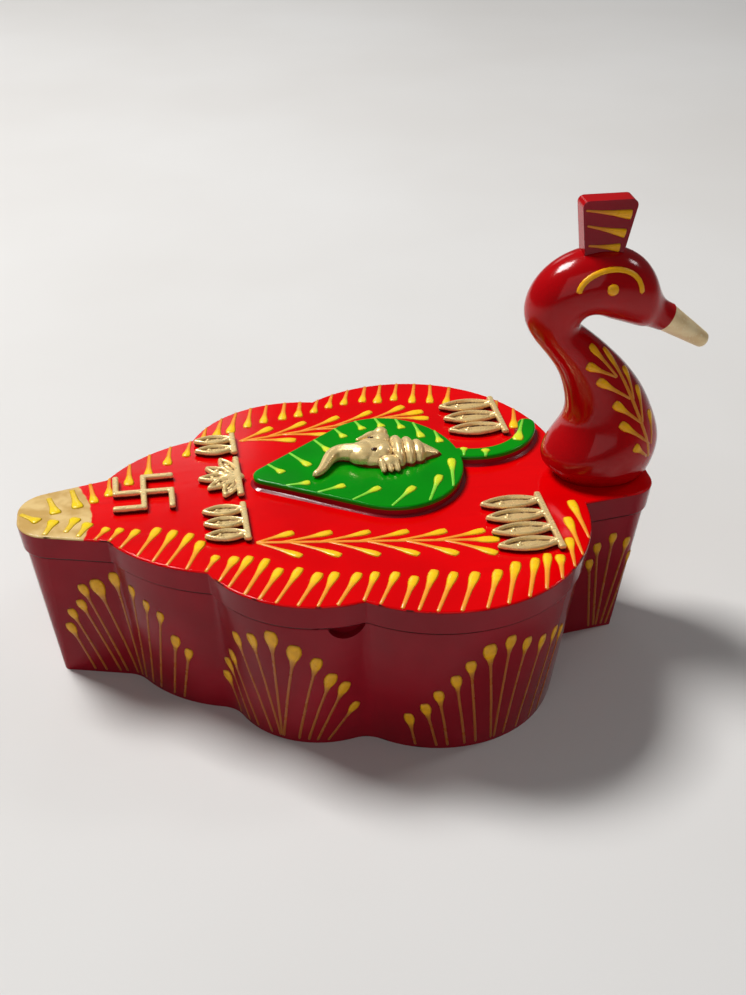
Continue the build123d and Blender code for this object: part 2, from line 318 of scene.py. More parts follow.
def lacquer(name, bright, deep, shine):
    finish, tree, shader, place = start_finish(name)
    feed(tree, shader.inputs["Base Color"], coat_colour(tree, place, bright, deep))
    lacquer_surface(tree, shader, place, shine)
    return finish


red_bright, red_deep = paint(226, 0, 4), paint(208, 0, 4)
# A darker red for sides that face away from the main lamp: painted shade on the same red coat.
shaded_red_bright, shaded_red_deep = paint(150, 18, 34), paint(130, 13, 27)
neck_bright, neck_deep = paint(178, 2, 8), paint(156, 2, 8)
print("lacquer words ready")

# %% [markdown]
# ### Pieces in more than one colour
#
# The lid is one board in three colours: bright red on top, a darker red of painted shade down its
# edge, and a patch of gold paint over the tail tip with a hand-cut, rounded border. The borders
# come from the place on the board, shaken a little by noise so that they look brushed. The leaf's
# side and the crest's faces take the darker red of painted shade in the same way.

# %% Lid, wall, leaf and crest finishes
gold_paint_end = 26.3       # mm from the tail tip, along the line y = gold_paint_y
gold_paint_y = -3.0
gold_paint_round = 45.0     # radius of the border
border_shake = 3.0          # mm that the noise shakes the border by


def lid_finish():
    finish, tree, shader, place = start_finish("lid_lacquer")
    shake = cloud(tree, place, 130, 3)
    height = axis_of(tree, place, 2)
    # Below the rounded top the edge takes the darker red as painted shade, with a painted shade
    # line at the seam.
    unshaded_top = fade(tree, height, (lid_top - 0.75) * mm, (lid_top - 0.45) * mm)
    top = coat_colour(tree, place, red_bright, red_deep)
    edge = coat_colour(tree, place, shaded_red_bright, shaded_red_deep)
    side = seam_shaded(tree, place, edge, seam + seam_shade_off)
    middle = tree.nodes.new("ShaderNodeVectorMath")
    middle.operation = "DISTANCE"
    tree.links.new(place, middle.inputs[0])
    middle.inputs[1].default_value = at(gold_paint_end - gold_paint_round, gold_paint_y)
    reach = sum_of(tree, "MULTIPLY_ADD", shake, border_shake * mm)
    tree.links.new(middle.outputs["Value"], reach.node.inputs[2])
    border = (gold_paint_round + border_shake / 2) * mm
    gilded = fade(tree, reach, border - 0.3 * mm, border + 0.3 * mm, 1, 0)
    brushed = fade(tree, shake, 0.35, 0.65)
    gold = mix(tree, brushed, paint(222, 190, 128), paint(196, 158, 92))
    worn = scuffs(tree, place, lid_top - 0.4)
    colour = mix(tree, unshaded_top, side, mix(tree, gilded, top, gold))
    feed(tree, shader.inputs["Base Color"], mix(tree, worn, colour, primer))
    lacquer_surface(tree, shader, place, lid_shine, worn)
    return finish


def wall_finish():
    finish, tree, shader, place = start_finish("wall_lacquer")
    worn = scuffs(tree, place, 0.2)
    # The wall is the darker red of painted shade, with a painted shade line under the seam.
    coat = mix(tree, worn, coat_colour(tree, place, shaded_red_bright, shaded_red_deep), primer)
    feed(tree, shader.inputs["Base Color"], seam_shaded(tree, place, coat, seam - seam_shade_off))
    lacquer_surface(tree, shader, place, wall_shine, worn)
    return finish


def leaf_finish():
    finish, tree, shader, place = start_finish("leaf_lacquer")
    height = axis_of(tree, place, 2)
    # The leaf's side takes the darker red as painted shade; the green wraps over the rounded top
    # edge.
    unshaded_top = fade(tree, height, (leaf_top - 1.7) * mm, (leaf_top - 1.3) * mm)
    top = coat_colour(tree, place, paint(0, 144, 9), paint(0, 126, 7))
    side = coat_colour(tree, place, shaded_red_bright, shaded_red_deep)
    feed(tree, shader.inputs["Base Color"], mix(tree, unshaded_top, side, top))
    lacquer_surface(tree, shader, place, leaf_shine)
    return finish


def crest_finish():
    finish, tree, shader, place = start_finish("crest_lacquer")
    across = sum_of(tree, "ABSOLUTE", axis_of(tree, place, 1), 0.0)
    face_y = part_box("crest")[1].y
    # Both faces take the darker red as painted shade; the rim keeps the neck's red.
    on_shaded_face = fade(tree, across, face_y - 0.4 * mm, face_y - 0.1 * mm)
    rim = coat_colour(tree, place, neck_bright, neck_deep)
    face = coat_colour(tree, place, shaded_red_bright, shaded_red_deep)
    feed(tree, shader.inputs["Base Color"], mix(tree, on_shaded_face, rim, face))
    lacquer_surface(tree, shader, place, crest_shine)
    return finish


print("lid, wall, leaf and crest finishes ready")

# %% [markdown]
# ## Gold, bare paint and wood
#
# The castings are pale gold on coarse brass: bright on the ridges and brown in the hollows, which
# each point of a casting remembers. Up to a ragged line above the foot, the flat castings are
# darkened with painted shade on their sides, and the figure is red. The beak has gold paint over
# wood, duller and with fine flakes. Inside, the pocket is stained so thinly that the wood grain
# shows.

# %% Metal, gold paint and wood
ragged = 0.8                # mm that the grain moves the edge of the foot colour by
casting_foot, figure_foot = lid_top + 1.3, leaf_top + 1.3


def casting_finish(name, foot, foot_colour):
    """Gold with brown hollows; foot is the height in mm up to which the casting takes foot_colour.
    """
    finish, tree, shader, place = start_finish(name)
    depth = tree.nodes.new("ShaderNodeAttribute")
    depth.attribute_name = "hollow"
    grain = cloud(tree, place, 380, 4)
    bright = mix(tree, grain, paint(252, 226, 166), paint(234, 196, 124))
    aged = mix(tree, fade(tree, depth.outputs["Fac"], 0.01, 0.13), bright, paint(118, 78, 36))
    edge = sum_of(tree, "MULTIPLY_ADD", grain, ragged * mm)
    tree.links.new(axis_of(tree, place, 2), edge.node.inputs[2])
    foot_tint = fade(tree, edge, (foot + 0.2) * mm, (foot + 0.6) * mm, 1, 0)
    feed(tree, shader.inputs["Base Color"], mix(tree, foot_tint, aged, foot_colour))
    feed(tree, shader.inputs["Metallic"], fade(tree, foot_tint, 0, 1, 0.4, 0))
    feed(tree, shader.inputs["Roughness"], fade(tree, grain, 0.3, 0.7, 0.22, 0.38))
    rough_relief(tree, shader, grain, 0.25, 0.22)
    return finish


def beak_finish():
    finish, tree, shader, place = start_finish("beak_gold_paint")
    flakes = cloud(tree, place, 1500, 2)
    strokes = cloud(tree, stretched(tree, place, (0.3, 1, 1)), 300, 3)
    tone = mix(tree, fade(tree, strokes, 0.3, 0.7), paint(255, 232, 184), paint(236, 204, 150))
    flaked = mix(tree, fade(tree, flakes, 0.6, 0.7), tone, paint(255, 240, 204))
    feed(tree, shader.inputs["Base Color"], flaked)
    shader.inputs["Metallic"].default_value = 0.15
    feed(tree, shader.inputs["Roughness"], fade(tree, flakes, 0.3, 0.7, 0.3, 0.48))
    rough_relief(tree, shader, strokes, 0.2, 0.2)
    return finish


def stained_wood(name, bright, deep):
    finish, tree, shader, place = start_finish(name)
    grain = cloud(tree, stretched(tree, place, (0.08, 1, 1)), 260, 5)
    rings = cloud(tree, stretched(tree, place, (0.05, 1, 0.4)), 60, 2)
    fine, slow = fade(tree, grain, 0.3, 0.7), fade(tree, rings, 0.3, 0.7, 0.4, 1)
    tone = sum_of(tree, "MULTIPLY", fine, slow)
    feed(tree, shader.inputs["Base Color"], mix(tree, tone, bright, deep))
    feed(tree, shader.inputs["Roughness"], fade(tree, grain, 0.3, 0.7, 0.35, 0.55))
    rough_relief(tree, shader, grain, 0.25, 0.3)
    return finish


def steel_finish():
    finish, tree, shader, place = start_finish("zinc_steel")
    spangle = cloud(tree, place, 700, 3)
    tone = mix(tree, spangle, paint(196, 198, 202), paint(168, 170, 176))
    feed(tree, shader.inputs["Base Color"], tone)
    shader.inputs["Metallic"].default_value = 1.0
    feed(tree, shader.inputs["Roughness"], fade(tree, spangle, 0.3, 0.7, 0.28, 0.45))
    rough_relief(tree, shader, spangle, 0.1, 0.2)
    return finish


# The flat castings are darkened up their sides as painted shade; the figure is red up to its foot
# line.
cast_gold = casting_finish("cast_gold", casting_foot, paint(58, 12, 10))
figure_gold = casting_finish("figure_gold", figure_foot, paint(150, 6, 10))
pocket_stain = stained_wood("pocket_stain", paint(140, 30, 30), paint(104, 18, 22))
base_stain = stained_wood("base_stain", paint(128, 34, 30), paint(92, 20, 20))
print("metal and wood finishes ready")

# %% [markdown]
# ### Dressing the solids
#
# The solids arrive with plain stand-in materials. Each takes the finish of the piece that it is;
# its shape and place stay as they are. The flat castings and the figure get theirs further down,
# with their own meshes.

# %% Dress the CAD solids
def dress(finish, *names):
    for name in names:
        mesh = nodes[name].data
        mesh.materials.clear()
        mesh.materials.append(finish)


dress(wall_finish(), "box_wall")
dress(lid_finish(), "lid_board")
dress(leaf_finish(), "leaf_plate")
dress(lacquer("neck_lacquer", neck_bright, neck_deep, neck_shine), "neck")
dress(crest_finish(), "crest")
dress(beak_finish(), "beak")
dress(pocket_stain, "divider_rear", "divider_front", "lid_lip")
dress(base_stain, "base_board")
dress(steel_finish(), "neck_screw")
print("dressed", len(nodes), "solids")

# %% [markdown]
# ## Castings
#
# A casting begins as a wax pattern, and so does this one: balls, rods and bars are pushed into
# each other and fused into one skin. The skin is then smoothed a little, as metal rounds off in
# the mould, and each point measures how far it lies below its surroundings.

# %% Words for patterns
cast_grain = 0.3            # mm; the fused skin shows nothing finer than this


def curve_point(points, t):
    """A point on the smooth curve that the given points pull on."""
    while len(points) > 1:
        points = [first.lerp(second, t) for first, second in zip(points, points[1:])]
    return points[0]


def drawn_ball(shape, rings):
    """A ball whose points come back with their ring and turn, ready to be drawn out."""
    blank = bmesh.ops.create_uvsphere(shape, u_segments=8, v_segments=rings, radius=1)
    for vertex in blank["verts"]:
        ring = round(acos(max(-1, min(1, vertex.co.z))) * rings / pi)
        yield vertex, ring, atan2(vertex.co.y, vertex.co.x)


def ball(shape, place, radii, turn=0.0):
    size = Matrix.Diagonal([radius * mm for radius in radii] + [1])
    matrix = Matrix.Translation(place) @ Matrix.Rotation(turn, 4, "Z") @ size
    fineness = 3 if max(radii) > 3 else 2
    bmesh.ops.create_icosphere(shape, subdivisions=fineness, radius=1, matrix=matrix)


def rod(shape, points, first, last, tall=1.0):
    """A rod along a curve, from one radius in mm to another."""
    length = sum((end - start).length for start, end in zip(points, points[1:])) / mm
    rings = max(8, ceil(length / (0.6 * min(first, last))))
    for vertex, ring, turn in drawn_ball(shape, rings):
        t = max(0, min(1, (ring - 1) / (rings - 2)))
        radius = (first + (last - first) * t) * mm
        ahead = curve_point(points, min(1, t + 0.02)) - curve_point(points, max(0, t - 0.02))
        ahead.normalize()
        side = Vector((0, 0, 1)).cross(ahead).normalized()
        up = ahead.cross(side)
        if ring in (0, rings):
            vertex.co = curve_point(points, t) + ahead * (radius if ring else -radius)
        else:
            out = side * cos(turn) + up * (tall * sin(turn))
            vertex.co = curve_point(points, t) + out * radius


def slab(shape, low, high, edge):
    """A bar between two corners, its edges rounded off by edge in mm."""
    span = high - low
    matrix = Matrix.Translation((low + high) / 2) @ Matrix.Diagonal((*span, 1))
    corners = bmesh.ops.create_cube(shape, size=1, matrix=matrix)["verts"]
    edges = list({edge for corner in corners for edge in corner.link_edges})
    bmesh.ops.bevel(shape, geom=edges, offset=edge * mm, segments=2, profile=0.5,
                    affect="EDGES", material=-1)


def cut_flat(solid, level, keep):
    """Cuts a solid off flat at a level, keeps what is above or below, and closes the cut."""
    everything = solid.verts[:] + solid.edges[:] + solid.faces[:]
    cut = bmesh.ops.bisect_plane(solid, geom=everything, plane_co=(0, 0, level),
                                 plane_no=(0, 0, 1), clear_inner=keep == "above",
                                 clear_outer=keep == "below")
    rim = [part for part in cut["geom_cut"] if isinstance(part, bmesh.types.BMEdge)]
    bmesh.ops.triangle_fill(solid, edges=rim, use_beauty=True)


def mark_hollows(solid):
    """Each point remembers how far it lies below its surroundings, in mm."""
    hollow = solid.verts.layers.float.new("hollow")
    solid.normal_update()
    around = [[edge.other_vert(v).index for edge in v.link_edges] for v in solid.verts]
    calm = [v.co.copy() for v in solid.verts]
    for _ in range(5):
        calm = [sum((calm[i] for i in near), Vector()) / len(near) for near in around]
    for v in solid.verts:
        v[hollow] = (calm[v.index] - v.co).dot(v.normal) / mm


def cast(shape, node, finish, rounds=2):
    """Fuses a pattern into one piece that takes the place of a CAD solid, smoothed some rounds."""
    mesh = bpy.data.meshes.new(node + "_cast")
    shape.to_mesh(mesh)
    shape.free()
    pattern = bpy.data.objects.new("pattern", mesh)
    scene.collection.objects.link(pattern)
    fuse = pattern.modifiers.new("fuse", "REMESH")
    fuse.mode = "VOXEL"
    fuse.voxel_size = cast_grain * mm
    soften = pattern.modifiers.new("soften", "SMOOTH")
    soften.iterations = rounds
    solid = bmesh.new()
    solid.from_object(pattern, bpy.context.evaluated_depsgraph_get())
    bpy.data.objects.remove(pattern)
    cut_flat(solid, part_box(node)[0].z, "above")
    solid.verts.index_update()
    mark_hollows(solid)
    bmesh.ops.recalc_face_normals(solid, faces=solid.faces)
    piece = finish_piece(solid, node + "_cast", finish, "lid")
    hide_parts(node)
    return piece


def finish_piece(shape, name, finish, body):
    mesh = bpy.data.meshes.new(name)
    shape.to_mesh(mesh)
    shape.free()
    mesh.shade_smooth()
    mesh.materials.append(finish)
    piece = bpy.data.objects.new(name, mesh)
    scene.collection.objects.link(piece)
    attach(piece, body)
    print(name, len(mesh.polygons), "faces")
    return piece


print("pattern words ready, grain", cast_grain, "mm")

# %% [markdown]
# ### Garlands, lotus and swastika
#
# The flat castings are read from the boxes of their solids: a bar on the side of the head, and
# leaves or petals that hang from it towards the tail. A leaf is a thin blade with a rim, a vein
# and a bead.

# %% Flat castings
bar_width = 2.2
bar_edge, arm_edge = 0.5, 0.55      # how far the edges of bars are rounded off
bead = 1.3
rim_radius = 0.85
vein_radius = 0.45
blade_drop = 0.8            # the blade lies this far below the rim
leaf_gap = 1.0
petal_width, petal_step = 5.8, 33   # mm, and degrees between petals
petal_shortening = 0.06     # every second petal is shorter by this share


def hanging_leaf(shape, root, turn, length, width):
    """A leaf's blade, rim, vein and bead, from its root in the direction turn; sizes in mm."""
    along = Vector((cos(turn), sin(turn), 0)) * mm
    across = Vector((-sin(turn), cos(turn), 0)) * mm
    tip = root + along * length
    for side in (1, -1):
        belly = root.lerp(tip, 0.5) + across * (side * (width - 2 * rim_radius))
        rod(shape, (root, belly, tip), rim_radius, rim_radius, 1.6)
    blade = root.lerp(tip, 0.5) - Vector((0, 0, blade_drop * mm))
    ball(shape, blade, (0.46 * length, 0.3 * width, 1.2), turn)
    rod(shape, (root, root.lerp(tip, 0.62)), vein_radius, vein_radius, 1.5)
    ball(shape, root.lerp(tip, 0.66), (0.85, 0.85, 1.2))


def bar_across(shape, node):
    """The bar with a bead at each end; gives back its middle line and its two ends."""
    low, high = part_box(node)
    slab(shape, Vector((high.x - bar_width * mm, low.y, low.z)), high, bar_edge)
    middle_x, middle_z = high.x - bar_width * mm / 2, (low.z + high.z) / 2
    for y in (low.y + bead * mm, high.y - bead * mm):
        ball(shape, Vector((middle_x, y, middle_z)), (1.5, bead, bead))
    return Vector((middle_x, low.y, middle_z)), Vector((middle_x, high.y, middle_z))


def garland(node, drops):
    shape = bmesh.new()
    first, last = bar_across(shape, node)
    length = (first.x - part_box(node)[0].x) / mm - rim_radius
    pitch = (last - first).length / mm / drops
    for place in range(drops):
        root = first.lerp(last, (place + 0.5) / drops)
        hanging_leaf(shape, root, pi, length, pitch - leaf_gap)
        ball(shape, root, (bead, 1.4, bead))
    cast(shape, node, cast_gold)


def lotus(node, petals):
    shape = bmesh.new()
    first, last = bar_across(shape, node)
    length = (first.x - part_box(node)[0].x) / mm - rim_radius
    root = first.lerp(last, 0.5)
    for place in range(petals):
        turn = pi + (place - (petals - 1) / 2) * radians(petal_step)
        petal_length = length * (1 - petal_shortening * (place % 2))
        hanging_leaf(shape, root, turn, petal_length, petal_width)
    ball(shape, root, (2.4, 2.4, bead))
    cast(shape, node, cast_gold)


def swastika(node):
    shape = bmesh.new()
    low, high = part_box(node)
    half = bar_width * mm / 2
    middle_x, middle_y = (low.x + high.x) / 2, (low.y + high.y) / 2
    for x0, y0, x1, y1 in (
            (low.x, middle_y - half, high.x, middle_y + half),
            (middle_x - half, low.y, middle_x + half, high.y),
            (low.x, middle_y - half, low.x + 2 * half, high.y),
            (high.x - 2 * half, low.y, high.x, middle_y + half),
            (middle_x - half, high.y - 2 * half, high.x, high.y),
            (low.x, low.y, middle_x + half, low.y + 2 * half)):
        slab(shape, Vector((x0, y0, low.z)), Vector((x1, y1, high.z)), arm_edge)
    cast(shape, node, cast_gold)


garland("rear_casting_far", 2)
garland("rear_casting_near", 3)
garland("front_casting_far", 3)
garland("front_casting_near", 4)
lotus("rear_casting_middle", 5)
swastika("swastika_ornament")

# %% [markdown]
# ### The elephant-headed figure
#
# The figure lies on its back on the leaf, crown towards the neck. Its trunk runs to the tail and
# turns to the near side. Balls make the head, brows and ears; three thick rings are the tiers of
# the crown, a tapered rod its peak, and short rods the fringe of the near ear and the far tusk.

# %% Figure
figure_x, figure_y = 129.0, 15.0


def from_figure(u, v, w):
    """A place in mm from the middle of the face, on the leaf."""
    return at(figure_x + u, figure_y + v, leaf_top + w)


def figure():
    shape = bmesh.new()
    for u, v, w, *radii in (
            (1, 0, 1.0, 9.0, 8.6, 5.6), (-3.5, -1.5, 2.4, 6.0, 6.0, 4.4),
            (3.8, 3.6, 3.4, 3.8, 3.8, 3.6), (3.8, -3.6, 3.4, 3.8, 3.8, 3.6),
            (3.5, 12, 0.8, 5.4, 4.6, 2.6), (5.8, 14.6, 1.6, 2.8, 2.6, 2.6),
            (5.5, -8.4, 1.2, 4.4, 3.6, 3.6), (9.4, -1, 0, 3.4, 9.8, 7.4),
            (13.4, -1, 0, 3.2, 8.6, 6.8), (17.0, -1.2, 0, 3.2, 7.0, 5.8)):
        ball(shape, from_figure(u, v, w), radii)
    rod(shape, (from_figure(18.2, -1.4, 0.2), from_figure(24.4, -2.2, 0.2)), 5.2, 1.8)
    trunk = [(-5, -1.4, 2.8), (-12, 0.6, 3.0), (-17.4, 2.6, 2.6), (-16.4, -9, 2.0),
             (-22.4, -11.6, 1.3)]
    rod(shape, [from_figure(*place) for place in trunk], 4.0, 1.4)
    for finger in range(3):
        u = 2.2 + 2.6 * finger
        rod(shape, (from_figure(u, -9, 3.2), from_figure(u + 0.4, -13.2, 1.2)), 1.4, 1.0)
    rod(shape, (from_figure(2.2, 12.4, 2.8), from_figure(-4.2, 9.4, 2.4)), 1.3, 0.6)
    return cast(shape, "ganesha_figure", figure_gold, rounds=4)


def figure_eyes(casting):
    """Two dark beads set on the casting's brow."""
    skin = BVHTree.FromPolygons([v.co for v in casting.data.vertices],
                                [face.vertices for face in casting.data.polygons])
    beads = bmesh.new()
    for side in (1, -1):
        above = from_figure(0.4, side * 4.2, 30)
        ball(beads, skin.ray_cast(above, Vector((0, 0, -1)))[0], (1.3, 0.9, 0.45))
    eye_brown = lacquer("eye_brown", paint(70, 36, 20), paint(48, 22, 12), eye_shine)
    finish_piece(beads, "figure_eyes", eye_brown, "lid")


figure_eyes(figure())

# %% [markdown]
# ## Raised strokes
#
# The yellow marks are thick paint squeezed from a paper cone: the hand starts with a thin tail,
# slows down and leaves a fat drop. A texture would look printed, so each stroke is a small ball
# drawn out along a curve. Every ring of the ball is set down on the CAD surface below it, so the
# stroke hugs flat lid, curved wall and carved neck alike. A thin tail lets the coat below show
# through, so each point remembers how thick the paint is there.

# %% One stroke
# A form is a row of rings: the share of the length, and how far the ring swells from tail to bulb.
drop = ((0, 0), (0.03, 0), (0.3, 0.06), (0.53, 0.2), (0.68, 0.52), (0.8, 0.92), (0.89, 1),
        (0.97, 0.72), (1, 0))
wedge = ((0, 0), (0.03, 0), (0.3, 0.12), (0.6, 0.42), (0.8, 0.75), (0.95, 1), (0.985, 0.9),
         (1, 0))
dot = ((0, 0), (0.07, 0.5), (0.2, 0.8), (0.4, 0.98), (0.6, 0.98), (0.8, 0.8), (0.93, 0.5),
       (1, 0))
line = ((0, 0), (0.02, 0.8), *((step / 16, 0.95) for step in range(1, 16)), (0.98, 0.8), (1, 0))


def pin(share):
    """A form with a round head on the last share of the length and a thin tail."""
    tail = [(step / 8 * (1 - share), 0) for step in range(1, 8)]
    head = ((1, 0.05), (0.72, 0.35), (0.52, 0.8), (0.34, 1), (0.16, 0.85), (0.05, 0.5), (0, 0))
    return ((0, 0), (0.02, 0), *tail, *((1 - share * back, swell) for back, swell in head))


def ground_of(*names):
    corners, faces = [], []
    for name in names:
        mesh, first = nodes[name].data, len(corners)
        corners += [vertex.co.copy() for vertex in mesh.vertices]
        faces += [[first + corner for corner in face.vertices] for face in mesh.polygons]
    return BVHTree.FromPolygons(corners, faces)


def lay_stroke(marks, ground, points, tail, bulb, height, form=drop):
    """Lays one stroke along a curve of points; widths and height are in mm."""
    thick = marks.verts.layers.float.get("thick") or marks.verts.layers.float.new("thick")
    last = len(form) - 1
    for vertex, ring, around in drawn_ball(marks, last):
        t, swell = form[ring]
        middle, up = ground.find_nearest(curve_point(points, t))[:2]
        ahead = curve_point(points, min(1, t + 0.05)) - curve_point(points, max(0, t - 0.05))
        width = 0 if ring in (0, last) else (tail + (bulb - tail) * swell) / 2
        side = up.cross(ahead).normalized() * (width * cos(around) * mm)
        foot, up = ground.find_nearest(middle + side)[:2]
        lift = height * (0.45 + 0.55 * swell) * max(sin(around), -0.3)
        vertex.co = foot + up * (lift * mm)
        vertex[thick] = swell


def stroke_finish(name, full, thin):
    finish, tree, shader, place = start_finish(name)
    thickness = tree.nodes.new("ShaderNodeAttribute")
    thickness.attribute_name = "thick"
    body = mix(tree, fade(tree, cloud(tree, place, 500, 3), 0.3, 0.7, 0, 0.25), full, thin)
    cover = fade(tree, thickness.outputs["Fac"], 0.0, 0.75)
    feed(tree, shader.inputs["Base Color"], mix(tree, cover, thin, body))
    sheen = fade(tree, cloud(tree, place, 240, 2), 0.3, 0.7, 0.25, 0.4)
    feed(tree, shader.inputs["Roughness"], sheen)
    rough_relief(tree, shader, cloud(tree, place, 900, 2), 0.1, 0.2)
    shader.inputs["Specular IOR Level"].default_value = 0.3
    shader.inputs["Coat Weight"].default_value = 0.1
    shader.inputs["Coat Roughness"].default_value = 0.15
    return finish


def finish_marks(marks, name, finish, body):
    bmesh.ops.recalc_face_normals(marks, faces=marks.faces)
    return finish_piece(marks, name, finish, body)


top_yellow = stroke_finish("yellow_on_red", paint(254, 206, 22), paint(244, 150, 44))
gold_yellow = stroke_finish("yellow_on_gold", paint(244, 208, 18), paint(232, 194, 52))
# On the wall the yellow is deeper, partly as thinner paint over the wall's colour and partly as
# painted shade.
wall_yellow_thin_and_shaded = stroke_finish("yellow_on_shaded_wall", paint(236, 172, 0), paint(172, 94, 30))
neck_yellow = stroke_finish("yellow_on_neck", paint(248, 180, 6), paint(212, 128, 30))
leaf_yellow = stroke_finish("yellow_on_green", paint(224, 230, 40), paint(128, 216, 60))
print("five yellows ready; a drop has", len(drop), "rings")

# %% [markdown]
# ### Strokes round the lid
#
# On the near side the strokes lean towards the head and turn upright at the shoulder, so each one
# is given by the place of its tail along the lid's edge and the place where its drop ends. On the
# far side they point almost straight at the painter, longest in the middle of a scallop and short
# where two scallops meet. A ray from outside finds the lid's edge for each of them.

# %% Lid edge strokes
hand = random.Random(7)
lid_ground = ground_of("lid_board")
scallop_ends = (29.0, 65.0, 112.0, 232.0)
below_round = 1.0           # mm under the lid's top, where its edge is no longer rounded
foot_inset = 0.1            # from the edge to a stroke's tail
edge_relief = 0.6           # height of the raised paint


def edge_y(ground, x, side, z):
    outside = at(x, side * 150, z)
    return ground.ray_cast(outside, Vector((0, -side, 0)))[0].y / mm


def scallop_share(x):
    """0 at the ends of the scallop that x lies in and 1 in its middle."""
    for low, high in zip(scallop_ends, scallop_ends[1:]):
        if low <= x <= high:
            return sin(pi * (x - low) / (high - low))
    return 0


def ramp(x, low, high):
    return max(0, min(1, (x - low) / (high - low)))


def far_heading(x):
    return -90.5 - 9 * ramp(x, 32, 64) - 5 * max(0, (x - 64) / 106)


def far_length(x):
    return 10 + 7 * scallop_share(x) ** 0.6


def onward(start, heading, length):
    """The place that lies length in mm from start, at heading in degrees."""
    turn = radians(heading)
    return start + Vector((cos(turn), sin(turn), 0)) * (length * mm)


def runs(*parts):
    """Places in a row; each part is the first place, the pitch and the count."""
    return [first + pitch * step for first, pitch, count in parts for step in range(count)]


def edge_start(side, x):
    """Where a stroke at x begins, on the lid's edge."""
    return at(x, edge_y(lid_ground, x, side, lid_top - below_round) - side * foot_inset)


def edge_widths():
    """Widths of a tail and its drop."""
    return hand.uniform(1.2, 1.5), hand.uniform(3.3, 4.0)


def far_end(start):
    """Where a stroke on the far side ends."""
    x = (start.x - tail_tip) / mm
    length = far_length(x) * hand.uniform(0.92, 1.08)
    heading = far_heading(x) + hand.uniform(-3, 3)
    return onward(start, heading, length)


# The tail's x on the near edge, then x and y where the drop ends.
near_strokes = (
    (27.4, 32.0, -12.4), (32.1, 36.7, -13.6), (35.8, 42.3, -15.2), (41.4, 49.5, -15.0),
    (46.5, 55.0, -17.6), (51.0, 60.6, -20.5), (57.5, 63.8, -25.9), (63.7, 68.2, -35.9),
    (67.6, 74.5, -37.5), (70.4, 79.4, -37.9), (75.2, 84.8, -40.3), (79.6, 88.6, -46.7),
    (84.7, 95.2, -47.4), (91.5, 101.1, -51.4), (97.8, 106.5, -51.9), (104.2, 114.0, -53.5),
    (112.9, 119.6, -54.0), (117.8, 126.3, -55.1), (124.3, 131.9, -58.4), (129.3, 139.1, -55.7),
    (135.2, 145.3, -58.0), (142.8, 152.3, -59.1), (151.2, 160.0, -59.0), (158.5, 166.9, -55.3),
    (166.1, 173.8, -54.2), (172.8, 178.4, -52.2), (179.5, 182.3, -53.7), (185.5, 188.1, -43.9),
    (190.1, 191.1, -30.7), (195.2, 195.4, -20.0))
far_places = runs((32.4, 7.9, 5), (70.4, 6.25, 4), (95.6, 6.8, 12), (187, 5, 2))
marks = bmesh.new()
for x, *end in near_strokes:
    points = edge_start(-1, x), at(*end)
    lay_stroke(marks, lid_ground, points, *edge_widths(), edge_relief)
for x in far_places:
    start = edge_start(1, x + hand.uniform(-0.4, 0.4))
    widths = edge_widths()
    lay_stroke(marks, lid_ground, (start, far_end(start)), *widths, edge_relief)
lay_stroke(marks, lid_ground, (at(25.8, 19.1), at(27.5, 4.5)), 1.4, 3.6, edge_relief)
finish_marks(marks, "lid_edge_strokes", top_yellow, "lid")

# %% [markdown]
# ### Two feather branches
#
# Beside the leaf lie two branches: a long stem that ends in a drop, with a pair of barbs every
# 13 mm that leave the stem at a shallow angle. The barbs on the near side of a stem lag a few
# millimetres behind the others. Both branches are drawn by one function.

# %% Feather branches
stem_relief, barb_relief = 0.6, 0.55
barb_reach = 18             # mm along the stem from a barb's tail to its bulb
barb_bow = 0.12             # share of its offset by which a barb bows back to the stem


def branch(marks, ground, root, tip, pairs, first, pitch, rise, fall, lag):
    """A stem with pairs of barbs; rise and fall are how far the bulbs stand off the stem."""
    along = (tip - root).normalized()
    across = Vector((0, 0, 1)).cross(along)
    lay_stroke(marks, ground, (root, tip), 1.5, 4.4, stem_relief, pin(0.14))
    for pair in range(pairs):
        for offset, late in ((rise, 0), (-fall, lag)):
            bulb = root + along * ((first + pitch * pair + late) * mm)
            end = bulb + across * (offset * mm)
            start = bulb - along * (barb_reach * mm)
            middle = start.lerp(end, 0.5) - across * (barb_bow * offset * mm)
            if (start - root).dot(along) < 0:
                start = root
            bulb_width = hand.uniform(3.3, 3.9)
            lay_stroke(marks, ground, (start, middle, end), 1.2, bulb_width, barb_relief)


marks = bmesh.new()
branch(marks, lid_ground, at(81.9, -30.0), at(164.8, -41.2), 6, 13.0, 13.2, 6.2, 9.1, 3)
branch(marks, lid_ground, at(81.9, 41.7), at(156.3, 54.6), 5, 15.2, 13.6, 6.8, 6.4, 6)
finish_marks(marks, "lid_branches", top_yellow, "lid")

# %% [markdown]
# ### The tail tip
#
# Six short strokes lie on the gold paint of the tail tip, three from the far edge and the tip and
# three from the near edge. They are few and uneven, so each is given by its two ends. Their yellow
# hardly changes in the thin tails, because the coat below is gold.

# %% Tail tip strokes
tail_relief = 0.55
marks = bmesh.new()
for start, end in (
        ((1.6, 1.4), (8.4, -4.6)), ((11.2, 11.1), (14.2, -0.6)), ((19.3, 15.5), (21.8, 2.0)),
        ((10.3, -13.6), (13.7, -4.4)), ((17.4, -13.2), (21.3, -4.1)),
        ((21.7, -16.7), (25.6, -8.1))):
    lay_stroke(marks, lid_ground, (at(*start), at(*end)), 2.0, 4.4, tail_relief)
finish_marks(marks, "tail_strokes", gold_yellow, "lid")

# %% [markdown]
# ### The leaf
#
# The leaf's border has the same strokes in a yellow that lets the green through. Towards the
# near side they sweep round with the leaf, and the stalk carries three short wedges.

